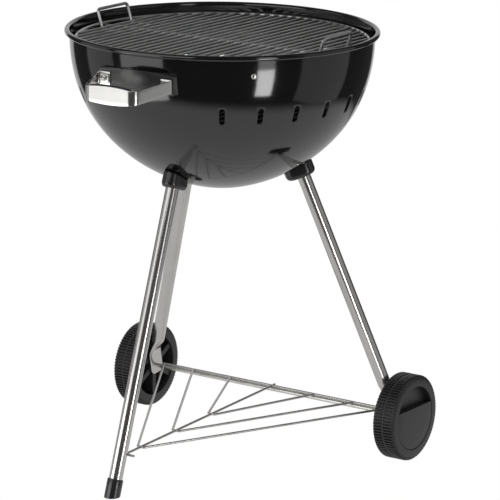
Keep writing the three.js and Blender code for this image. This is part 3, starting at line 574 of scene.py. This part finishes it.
tread = [(level, WHEEL_RADIUS) for level in (-18, -16.6, -12, -7, -2.6)]
tread += [(-1.5, RIB_RADIUS), (1.5, RIB_RADIUS)]
tread += [(level, WHEEL_RADIUS) for level in (2.6, 7, 12, 16.6, 18)]
for name, side in (("front", -1), ("rear", 1)):
    outline = [(4.3, -19.6), (13.4, -19.6), (14, -19), (14, 4), (15.5, 5.5), (57.5, 5.5),
               (59, 4), (59, -22.4), (59.6, -23), (72.4, -23), (73.6, -22.6), (76.5, -21.2),
               (79.6, -19.6)]
    outline += [(radius, level) for level, radius in tread]
    outline += [(79.6, 19.6), (76.5, 21.2), (73.6, 22.6), (72.4, 23), (61, 23), (60.3, 22.4),
                (60.3, 9.5), (4.3, 9.5)]
    wheel = lathe_piece(outline, LUGS * LUG_STEPS, Matrix.Identity(4))
    for vert in wheel.verts:
        radius = hypot(vert.co.x, vert.co.y) / MM
        level = vert.co.z / MM
        if radius < 76 or abs(level) < 2:
            continue
        column = round(degrees(atan2(vert.co.y, vert.co.x)) * LUGS * LUG_STEPS / 360)
        phase = column % LUG_STEPS
        if phase < 3:
            depth = GROOVE_DEPTH * (0.7 if abs(level) > 20 else 1)
            vert.co.x *= 1 - depth / radius
            vert.co.y *= 1 - depth / radius
    for step in range(6):
        turn = radians(60 * step + 30)
        rib = Matrix.Rotation(turn, 4, "Z") @ Matrix.Translation((36.5 * MM, 0, -6.7 * MM))
        bmesh.ops.create_cube(wheel, size=1, matrix=rib @ Matrix.Diagonal(
            (46 * MM, 10 * MM, 26 * MM, 1)))
    bmesh.ops.transform(wheel, matrix=wheel_place(side), verts=wheel.verts)
    bmesh.ops.recalc_face_normals(wheel, faces=wheel.faces)
    finish_piece(f"{name}_wheel_moulded", wheel, wheel_grey, f"{name}_wheel_body",
                 [f"{name}_wheel"], sharp=28)

    disc = lathe_piece([(0, 9.8), (60, 9.8), (60, 21.2), (59.4, 22.2), (58, 22.6), (36, 23.1),
                        (12, 23.6), (0, 23.7)], 96, Matrix.Identity(4))
    cut = bmesh.ops.bisect_plane(disc, geom=[*disc.verts, *disc.edges, *disc.faces],
                                 plane_co=(0, DISC_CHORD * MM, 0), plane_no=(0, 1, 0),
                                 clear_outer=True)["geom_cut"]
    rim = [item for item in cut if isinstance(item, bmesh.types.BMEdge)]
    bmesh.ops.contextual_create(disc, geom=rim)
    base = [face for face in disc.faces if face.calc_center_median().z < 10 * MM]
    bmesh.ops.delete(disc, geom=base, context="FACES")
    bmesh.ops.recalc_face_normals(disc, faces=disc.faces)
    bmesh.ops.transform(disc, matrix=wheel_place(side), verts=disc.verts)
    cover = finish_piece(f"{name}_wheel_disc", disc, wheel_grey, f"{name}_wheel_body",
                         [f"{name}_wheel_cover"])
    wall = cover.modifiers.new("moulding", "SOLIDIFY")
    wall.thickness = 3 * MM
    wall.offset = -1
    round_edges(cover, 0.7)

# ---- Handles --------------------------------------------------------------------------------------
# Each handle is a 2 mm strap of satin stainless steel, bent at the feet and at two corners, and
# taller in the middle of the grip. A black plastic liner fills the grip's inner side, and a
# black heat shield lies between the feet and the wall. Two dome bolts hold it all.

HANDLE_TURN = radians(1.8)
HANDLE_HEIGHT = 752.5
GRIP_HEIGHT = 740.5
STRAP = 2
PLATE = 278.8  # middle of the strap's sheet at its feet
REACH = 361  # and at the grip
ARM_START = 282
ARM_END = 352  # where an arm runs into its corner
CORNER_HALF = 12.3  # half height of the strap at its feet and corners
SWELL = 3.9  # added in the middle of the grip
HALF_GRIP = 51.5
FOOT_INNER = 54
FOOT_OUTER = 79.5
BOLT_OFFSET = 66.5
LINER_MIDDLE = 355.7
LINER_HALF = 4
LINER_ROUND = 2.5
SHIELD_HALF = 17
SHIELD_FACE = 277.5

satin = surface_material("satin_strap", (0.76, 0.755, 0.735), 0.2, metallic=1, cloud_scale=30,
                         grain_scale=900, amount=0.2, bump=0.08, bump_depth=0.01)


def rounded_path(corners, radii, steps=8):
    """A path through corners, each rounded to its radius; a corner is a 2D or 3D vector."""
    points = [corners[0]]
    for before, corner, after, radius in zip(corners, corners[1:], corners[2:], radii):
        back, on = (before - corner).normalized(), (after - corner).normalized()
        half = back.angle(on) / 2
        centre = corner + (back + on).normalized() * (radius / sin(half))
        start = corner + back * (radius / tan(half))
        stop = corner + on * (radius / tan(half))
        for step in range(steps + 1):
            arm = (start - centre).normalized().slerp((stop - centre).normalized(), step / steps)
            points.append(centre + arm * (start - centre).length)
    points.append(corners[-1])
    return points


def grip_half(y):
    return CORNER_HALF + SWELL * max(0, 1 - (y / HALF_GRIP) ** 2)


def strap_edges(x, y):
    """Lower and upper edge of the strap at a point of its plan."""
    share = min(1, max(0, (x - ARM_START) / (ARM_END - ARM_START)))
    foot_low, foot_high = HANDLE_HEIGHT - CORNER_HALF, HANDLE_HEIGHT + CORNER_HALF - 1
    low = foot_low + (GRIP_HEIGHT - CORNER_HALF - foot_low) * share
    high = foot_high + (GRIP_HEIGHT + CORNER_HALF - foot_high) * share
    if x > ARM_END - 4:
        blend = min(1, (x - ARM_END + 4) / 8)
        low += (GRIP_HEIGHT - grip_half(y) - low) * blend
        high += (GRIP_HEIGHT + grip_half(y) - high) * blend
    return low, high


half_plan = [Vector((PLATE, FOOT_INNER, 0)), Vector((PLATE, FOOT_OUTER - 0.6, 0)),
             Vector((REACH, HALF_GRIP - 0.9, 0))]
plan = half_plan + [Vector((point.x, -point.y, 0)) for point in reversed(half_plan)]
path = rounded_path(plan, (2.6, 17, 17, 2.6), 12)
fine = [path[0]]
for before, after in zip(path, path[1:]):
    pieces = max(1, round((after - before).length / 6))
    fine += [before.lerp(after, step / pieces) for step in range(1, pieces + 1)]

for name, turn in (("right", HANDLE_TURN), ("left", pi + HANDLE_TURN)):
    turned = Matrix.Rotation(turn, 4, "Z")
    rows = []
    for point in fine:
        low, high = strap_edges(point.x, point.y)
        rows.append([Vector((point.x, point.y, low + (high - low) * step / 4)) * MM
                     for step in range(5)])
    bm = bmesh.new()
    draw_skin(bm, rows, closed=False)
    bmesh.ops.transform(bm, matrix=turned, verts=bm.verts)
    strap = finish_piece(f"{name}_handle_bent_strap", bm, satin, "frame",
                         [f"{name}_handle_strap"], sharp=60)
    sheet = strap.modifiers.new("sheet", "SOLIDIFY")
    sheet.thickness = STRAP * MM
    sheet.offset = 0
    round_edges(strap, 0.3)

    rows = []
    for y, inset in ((-42.5, 1.6), (-41.9, 0.6), *[(-40.5 + 8.1 * step, 0) for step in range(11)],
                     (41.9, 0.6), (42.5, 1.6)):
        half = grip_half(y) + 1.5 - inset
        row = []
        for step in range(24):
            turn_step = 2 * pi * (step + 0.5) / 24
            sign_x = 1 if cos(turn_step) > 0 else -1
            sign_z = 1 if sin(turn_step) > 0 else -1
            x = LINER_MIDDLE + sign_x * (LINER_HALF - LINER_ROUND)
            x += (LINER_ROUND - inset) * cos(turn_step)
            z = GRIP_HEIGHT + sign_z * (half - LINER_ROUND) + LINER_ROUND * sin(turn_step)
            row.append(Vector((x, y, z)) * MM)
        rows.append(row)
    bm = bmesh.new()
    first, last = draw_skin(bm, rows)
    bmesh.ops.contextual_create(bm, geom=first)
    bmesh.ops.contextual_create(bm, geom=last)
    bmesh.ops.recalc_face_normals(bm, faces=bm.faces)
    bmesh.ops.transform(bm, matrix=turned, verts=bm.verts)
    finish_piece(f"{name}_handle_grip_liner", bm, moulded, "frame",
                 [f"{name}_handle_liner"])

    rows = []
    for step in range(41):
        y = FOOT_OUTER * (step / 20 - 1)
        top = HANDLE_HEIGHT + SHIELD_HALF + 4 * (1 - (y / FOOT_OUTER) ** 2)
        front, back = [], []
        for level in range(6):
            bottom = HANDLE_HEIGHT - SHIELD_HALF
            z = bottom + (top - bottom) * level / 5
            behind = sqrt((wall_radius(RIM_HEIGHT - z) + 0.4) ** 2 - y * y)
            front.append(Vector((max(SHIELD_FACE, behind + 1.6), y, z)) * MM)
            back.append(Vector((behind, y, z)) * MM)
        rows.append(front + back[::-1])
    bm = bmesh.new()
    first, last = draw_skin(bm, rows)
    bmesh.ops.contextual_create(bm, geom=first)
    bmesh.ops.contextual_create(bm, geom=last)
    bmesh.ops.recalc_face_normals(bm, faces=bm.faces)
    bmesh.ops.transform(bm, matrix=turned, verts=bm.verts)
    shield = finish_piece(f"{name}_handle_heat_shield", bm, moulded, "frame",
                          [f"{name}_handle_shield"])
    round_edges(shield, 0.7)

    for end, y in (("a", -BOLT_OFFSET), ("b", BOLT_OFFSET)):
        seat = turned @ Matrix.Translation(Vector((280.1, y, HANDLE_HEIGHT)) * MM)
        bm = bmesh.new()
        dome_screw(bm, seat @ Matrix.Rotation(pi / 2, 4, "Y"), head=6, height=3.6, shank=3,
                   length=25)
        finish_piece(f"{name}_handle_dome_bolt_{end}", bm, zinc, "frame",
                     [f"{name}_handle_bolt_{end}"])
        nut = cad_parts[f"{name}_handle_nut_{end}"].data.materials
        nut.clear()
        nut.append(zinc)

# ---- Grates ---------------------------------------------------------------------------------------
# Round steel wires welded across a wire ring. The charcoal grate is coarse and rests in the
# narrowing bowl. The cooking grate has 27 bars, a cross wire under them and two raised grips
# bent from one wire each.

RING_WIRE = 3
BAR_WIRE = 2.25
COOKING_HEIGHT = 789
COOKING_RADIUS = 268
COAL_RADIUS = 219
COOKING_PITCH = 18
COAL_PITCH = 22
GRIP_HALF_WIDTH = 45.5
GRIP_RISE = 33

grate_steel = surface_material("grate_wire_steel", (0.82, 0.82, 0.81), 0.36, metallic=1,
                               cloud_scale=45, grain_scale=1200, amount=0.45, bump=0.2)
# The charcoal grate's wire is painted near black and matt: painted shade for the dark inside of the
# bowl, which shows through the slots.
painted_shade_wire = surface_material("painted_shade_coal_grate_wire", (0.012, 0.0115, 0.011), 0.8, cloud_scale=35,
                               grain_scale=900, amount=0.6, bump=0.3, shine=0.15)


def bend_wire(bm, path, radius, sides=10):
    """A round wire along a path of points, mitred at each bend and closed at both ends."""
    points = [Vector(point) for point in path]
    heading = (points[1] - points[0]).normalized()
    upright = heading.to_track_quat("Z", "Y").to_matrix().to_4x4()
    ring = [Matrix.Translation(points[0]) @ upright @ Vector(point)
            for point in circle_points(radius, 0, sides)]
    rows = [ring]
    for index, point in enumerate(points[1:], 1):
        heading = (point - points[index - 1]).normalized()
        onward = heading if point is points[-1] else (points[index + 1] - point).normalized()
        plane = (heading + onward).normalized()
        ring = [spot + heading * ((point - spot).dot(plane) / heading.dot(plane)) for spot in ring]
        rows.append(ring)
    first, last = draw_skin(bm, [[spot * MM for spot in row] for row in rows])
    bmesh.ops.contextual_create(bm, geom=first)
    bmesh.ops.contextual_create(bm, geom=last)


def wire_ring(bm, radius, wire, height, steps=180):
    """A ring of round wire."""
    line = [bm.verts.new(((radius + wire * cos(2 * pi * step / 12)) * MM, 0,
                          (height + wire * sin(2 * pi * step / 12)) * MM)) for step in range(12)]
    edges = [bm.edges.new(pair) for pair in zip(line, line[1:] + line[:1])]
    bmesh.ops.spin(bm, geom=[*line, *edges], axis=(0, 0, 1), cent=(0, 0, 0), angle=2 * pi,
                   steps=steps, use_merge=True)


def weld_spot(bm, point, radius):
    """A small flattened weld where two wires cross."""
    place = Matrix.Translation(Vector(point) * MM) @ Matrix.Diagonal((1, 1, 0.7, 1))
    bmesh.ops.create_icosphere(bm, subdivisions=1, radius=radius * MM, matrix=place)


bm = bmesh.new()
coal_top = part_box("charcoal_grate")[1][2] / MM - RING_WIRE
wire_ring(bm, COAL_RADIUS, RING_WIRE, coal_top - RING_WIRE)
for index in range(9):
    for side in (-1, 1):
        y = side * COAL_PITCH * (index + 0.5)
        reach = sqrt(COAL_RADIUS ** 2 - y * y)
        bend_wire(bm, [(-reach, y, coal_top), (reach, y, coal_top)], RING_WIRE)
for x in (-90, 90):
    reach = sqrt(COAL_RADIUS ** 2 - x * x)
    bend_wire(bm, [(x, -reach, coal_top - 6.1), (x, reach, coal_top - 6.1)], RING_WIRE)
bmesh.ops.recalc_face_normals(bm, faces=bm.faces)
finish_piece("charcoal_grate_wires", bm, painted_shade_wire, "charcoal_grate_body",
             ["charcoal_grate"])

bm = bmesh.new()
wire_ring(bm, COOKING_RADIUS, RING_WIRE, COOKING_HEIGHT)
bar_height = COOKING_HEIGHT + 1
cross_height = bar_height - BAR_WIRE - RING_WIRE - 0.3
for index in range(-13, 14):
    y = COOKING_PITCH * index
    reach = sqrt(COOKING_RADIUS ** 2 - y * y)
    bend_wire(bm, [(-reach, y, bar_height), (reach, y, bar_height)], BAR_WIRE)
    weld_spot(bm, (0, y, bar_height - 2.4), 2.6)
    for end in (-1, 1):
        weld_spot(bm, (end * (reach - 1.5), y, bar_height - 0.9), 2.7)
bend_wire(bm, [(0, -267, cross_height), (0, 267, cross_height)], RING_WIRE)
for side in (-1, 1):
    weld = cross_height + 0.9
    foot = Vector((GRIP_HALF_WIDTH, side * 238.65, weld))
    top = Vector((GRIP_HALF_WIDTH, side * 250.65, COOKING_HEIGHT + GRIP_RISE))
    grip = [Vector((GRIP_HALF_WIDTH, side * 188, weld)), foot, top]
    grip += [Vector((-point.x, point.y, point.z)) for point in reversed(grip)]
    bend_wire(bm, rounded_path(grip, (6, 7, 7, 6), 6), RING_WIRE)
bmesh.ops.recalc_face_normals(bm, faces=bm.faces)
finish_piece("cooking_grate_wires", bm, grate_steel, "cooking_grate_body",
             ["cooking_grate"])

# ---- Wire shelf --------------------------------------------------------------------------------------
# A shelf of bright steel wire: one spine from the foot leg to the axle, a stop bar against the
# leg, a rail along the axle and three bent vees welded between them.

RACK_WIRE = 2.3
RACK_SLOPE = 0.0375  # the shelf climbs towards the axle

rack_steel = surface_material("bright_rack_wire", (0.58, 0.57, 0.555), 0.34, metallic=1,
                              cloud_scale=40, grain_scale=1200, amount=0.35, bump=0.12)


def rack_point(x, y):
    lift = AXLE_HEIGHT + 4 + 0.3 + RACK_WIRE
    return Vector((x, y, lift + RACK_SLOPE * (x - AXLE_X)))


bm = bmesh.new()
bend_wire(bm, [rack_point(-305.7, 0), rack_point(AXLE_X + 9, 0)], RACK_WIRE, 12)
bend_wire(bm, [rack_point(-293.7, -20), rack_point(-293.7, 20)], RACK_WIRE, 12)
bend_wire(bm, [rack_point(AXLE_X, -258), rack_point(AXLE_X, 258)], RACK_WIRE, 12)
for apex, reach in ((-246, 256), (-138, 186), (-24, 97)):
    corners = [rack_point(AXLE_X, -reach), rack_point(apex, -7), rack_point(apex, 7),
               rack_point(AXLE_X, reach)]
    bend_wire(bm, rounded_path(corners, (4, 4), 5), RACK_WIRE, 12)
    for side in (-1, 1):
        weld_spot(bm, rack_point(AXLE_X, side * reach), 3)
bmesh.ops.recalc_face_normals(bm, faces=bm.faces)
finish_piece("storage_rack_wires", bm, rack_steel, "frame", ["storage_rack"])

# ---- Floor, studio light and camera ----------------------------------------------------------------
# A pale floor and a soft white studio. Upright light panels stand round the grill and show
# only as reflections. The floor glows instead of taking light: even white to the camera, with
# no shadows, and in reflections a painted pool of light near the grill that fades to dark
# further out.


def floor_material():
    material = bpy.data.materials.new("pale_floor")
    material.use_nodes = True
    tree = material.node_tree
    tree.nodes.clear()
    output = tree.nodes.new("ShaderNodeOutputMaterial")
    glow = tree.nodes.new("ShaderNodeEmission")
    rays = tree.nodes.new("ShaderNodeLightPath")
    place = tree.nodes.new("ShaderNodeTexCoord")
    length = tree.nodes.new("ShaderNodeVectorMath")
    length.operation = "DISTANCE"
    length.inputs[1].default_value = (0.25, 0.36, 0)
    # Painted pool of light: in reflections the floor glows brightly near the grill and fades to dark
    # further out.
    painted_pool_falloff = tree.nodes.new("ShaderNodeMapRange")
    painted_pool_falloff.interpolation_type = "SMOOTHSTEP"
    painted_pool_falloff.inputs["From Min"].default_value = 1.26
    painted_pool_falloff.inputs["From Max"].default_value = 1.6
    painted_pool_falloff.inputs["To Min"].default_value = 0.58
    painted_pool_falloff.inputs["To Max"].default_value = 0.05
    seen = tree.nodes.new("ShaderNodeMix")
    seen.inputs["B"].default_value = 1
    soft = tree.nodes.new("ShaderNodeMix")
    soft.inputs["B"].default_value = 0.8
    tree.links.new(place.outputs["Object"], length.inputs[0])
    tree.links.new(length.outputs["Value"], painted_pool_falloff.inputs["Value"])
    tree.links.new(painted_pool_falloff.outputs["Result"], soft.inputs["A"])
    tree.links.new(rays.outputs["Is Diffuse Ray"], soft.inputs["Factor"])
    tree.links.new(soft.outputs["Result"], seen.inputs["A"])
    tree.links.new(rays.outputs["Is Camera Ray"], seen.inputs["Factor"])
    tree.links.new(seen.outputs["Result"], glow.inputs["Strength"])
    tree.links.new(glow.outputs[0], output.inputs["Surface"])
    return material


bm = bmesh.new()
bmesh.ops.create_circle(bm, cap_ends=True, segments=64, radius=12)
mesh = bpy.data.meshes.new("floor")
bm.to_mesh(mesh)
bm.free()
floor = bpy.data.objects.new("floor", mesh)
floor.data.materials.append(floor_material())
bpy.context.scene.collection.objects.link(floor)


def soft_box(name, left, right, bottom, top, strength):
    """An upright light panel between two points of the floor, seen only in reflections."""
    bm = bmesh.new()
    corners = [(*left, bottom), (*right, bottom), (*right, top), (*left, top)]
    bmesh.ops.contextual_create(bm, geom=[bm.verts.new(corner) for corner in corners])
    mesh = bpy.data.meshes.new(name)
    bm.to_mesh(mesh)
    bm.free()
    panel = bpy.data.objects.new(name, mesh)
    material = bpy.data.materials.new(name)
    material.use_nodes = True
    shader = material.node_tree.nodes["Principled BSDF"]
    shader.inputs["Base Color"].default_value = (0, 0, 0, 1)
    shader.inputs["Emission Color"].default_value = (1, 1, 1, 1)
    shader.inputs["Emission Strength"].default_value = strength
    panel.data.materials.append(material)
    panel.visible_camera = False
    panel.visible_diffuse = False
    panel.visible_shadow = False
    panel.visible_transmission = False
    bpy.context.scene.collection.objects.link(panel)


soft_box("strip_light", (-0.70, -1.17), (-0.45, -1.31), 0.0, 0.45, 6)
soft_box("strip_top", (-0.70, -1.17), (-0.45, -1.31), 0.45, 1.9, 1.3)
soft_box("left_soft_box", (-0.99, 0.80), (-1.21, 0.11), 0.0, 0.42, 2.4)
soft_box("left_box_top", (-0.99, 0.80), (-1.21, 0.11), 0.42, 2.0, 1.1)
soft_box("left_high_box", (-1.21, 0.11), (-1.30, -0.36), 0.9, 2.0, 1.1)
soft_box("left_screen", (-0.30, 1.45), (-0.99, 1.10), 0.0, 1.8, 0.4)
soft_box("right_screen", (0.01, -1.25), (1.0, -0.95), 0.0, 1.8, 0.3)
soft_box("back_screen", (1.9, 0.2), (0.6, 1.8), 0.0, 1.7, 0.7)

sky = bpy.data.lights.new("overhead_soft_light", "AREA")
sky.shape = "RECTANGLE"
sky.size = 2.4
sky.size_y = 2.4
sky.energy = 75
overhead = bpy.data.objects.new("overhead_soft_light", sky)
overhead.matrix_world = Matrix.Translation((0.8, 1.1, 2.5))
overhead.visible_camera = False
overhead.visible_glossy = False
bpy.context.scene.collection.objects.link(overhead)

world = bpy.data.worlds.new("studio")
bpy.context.scene.world = world
world.use_nodes = True
tree = world.node_tree
background = tree.nodes["Background"]
rays = tree.nodes.new("ShaderNodeLightPath")
soft = tree.nodes.new("ShaderNodeMix")
soft.inputs["A"].default_value = 0.07
soft.inputs["B"].default_value = 0.8
tree.links.new(rays.outputs["Is Diffuse Ray"], soft.inputs["Factor"])
seen = tree.nodes.new("ShaderNodeMix")
seen.inputs["B"].default_value = 1
tree.links.new(soft.outputs["Result"], seen.inputs["A"])
tree.links.new(rays.outputs["Is Camera Ray"], seen.inputs["Factor"])
tree.links.new(seen.outputs["Result"], background.inputs["Strength"])
background.inputs["Color"].default_value = (1, 1, 1, 1)
bpy.context.scene.view_settings.view_transform = "Standard"

camera_data = bpy.data.cameras.new("camera")
camera_data.lens = 233.19
camera_data.sensor_width = 36
camera_data.clip_end = 100
camera = bpy.data.objects.new("camera", camera_data)
bpy.context.scene.collection.objects.link(camera)
bpy.context.scene.camera = camera
CAMERA_TURN = radians(-55.1207)
CAMERA_DISTANCE = 5.8234
CAMERA_HEIGHT = 1.8452
spot = Vector((sin(CAMERA_TURN) * CAMERA_DISTANCE, -cos(CAMERA_TURN) * CAMERA_DISTANCE,
               CAMERA_HEIGHT))
heading, pitch, roll = CAMERA_TURN + radians(-0.5411), radians(14.0128), radians(0.7028)
forward = Vector((-sin(heading) * cos(pitch), cos(heading) * cos(pitch), -sin(pitch)))
level = Vector((cos(heading), sin(heading), 0))
above = level.cross(forward)
right = level * cos(roll) + above * sin(roll)
up = above * cos(roll) - level * sin(roll)
camera.matrix_world = Matrix.Translation(spot) @ Matrix((right, up, -forward)).transposed().to_4x4()
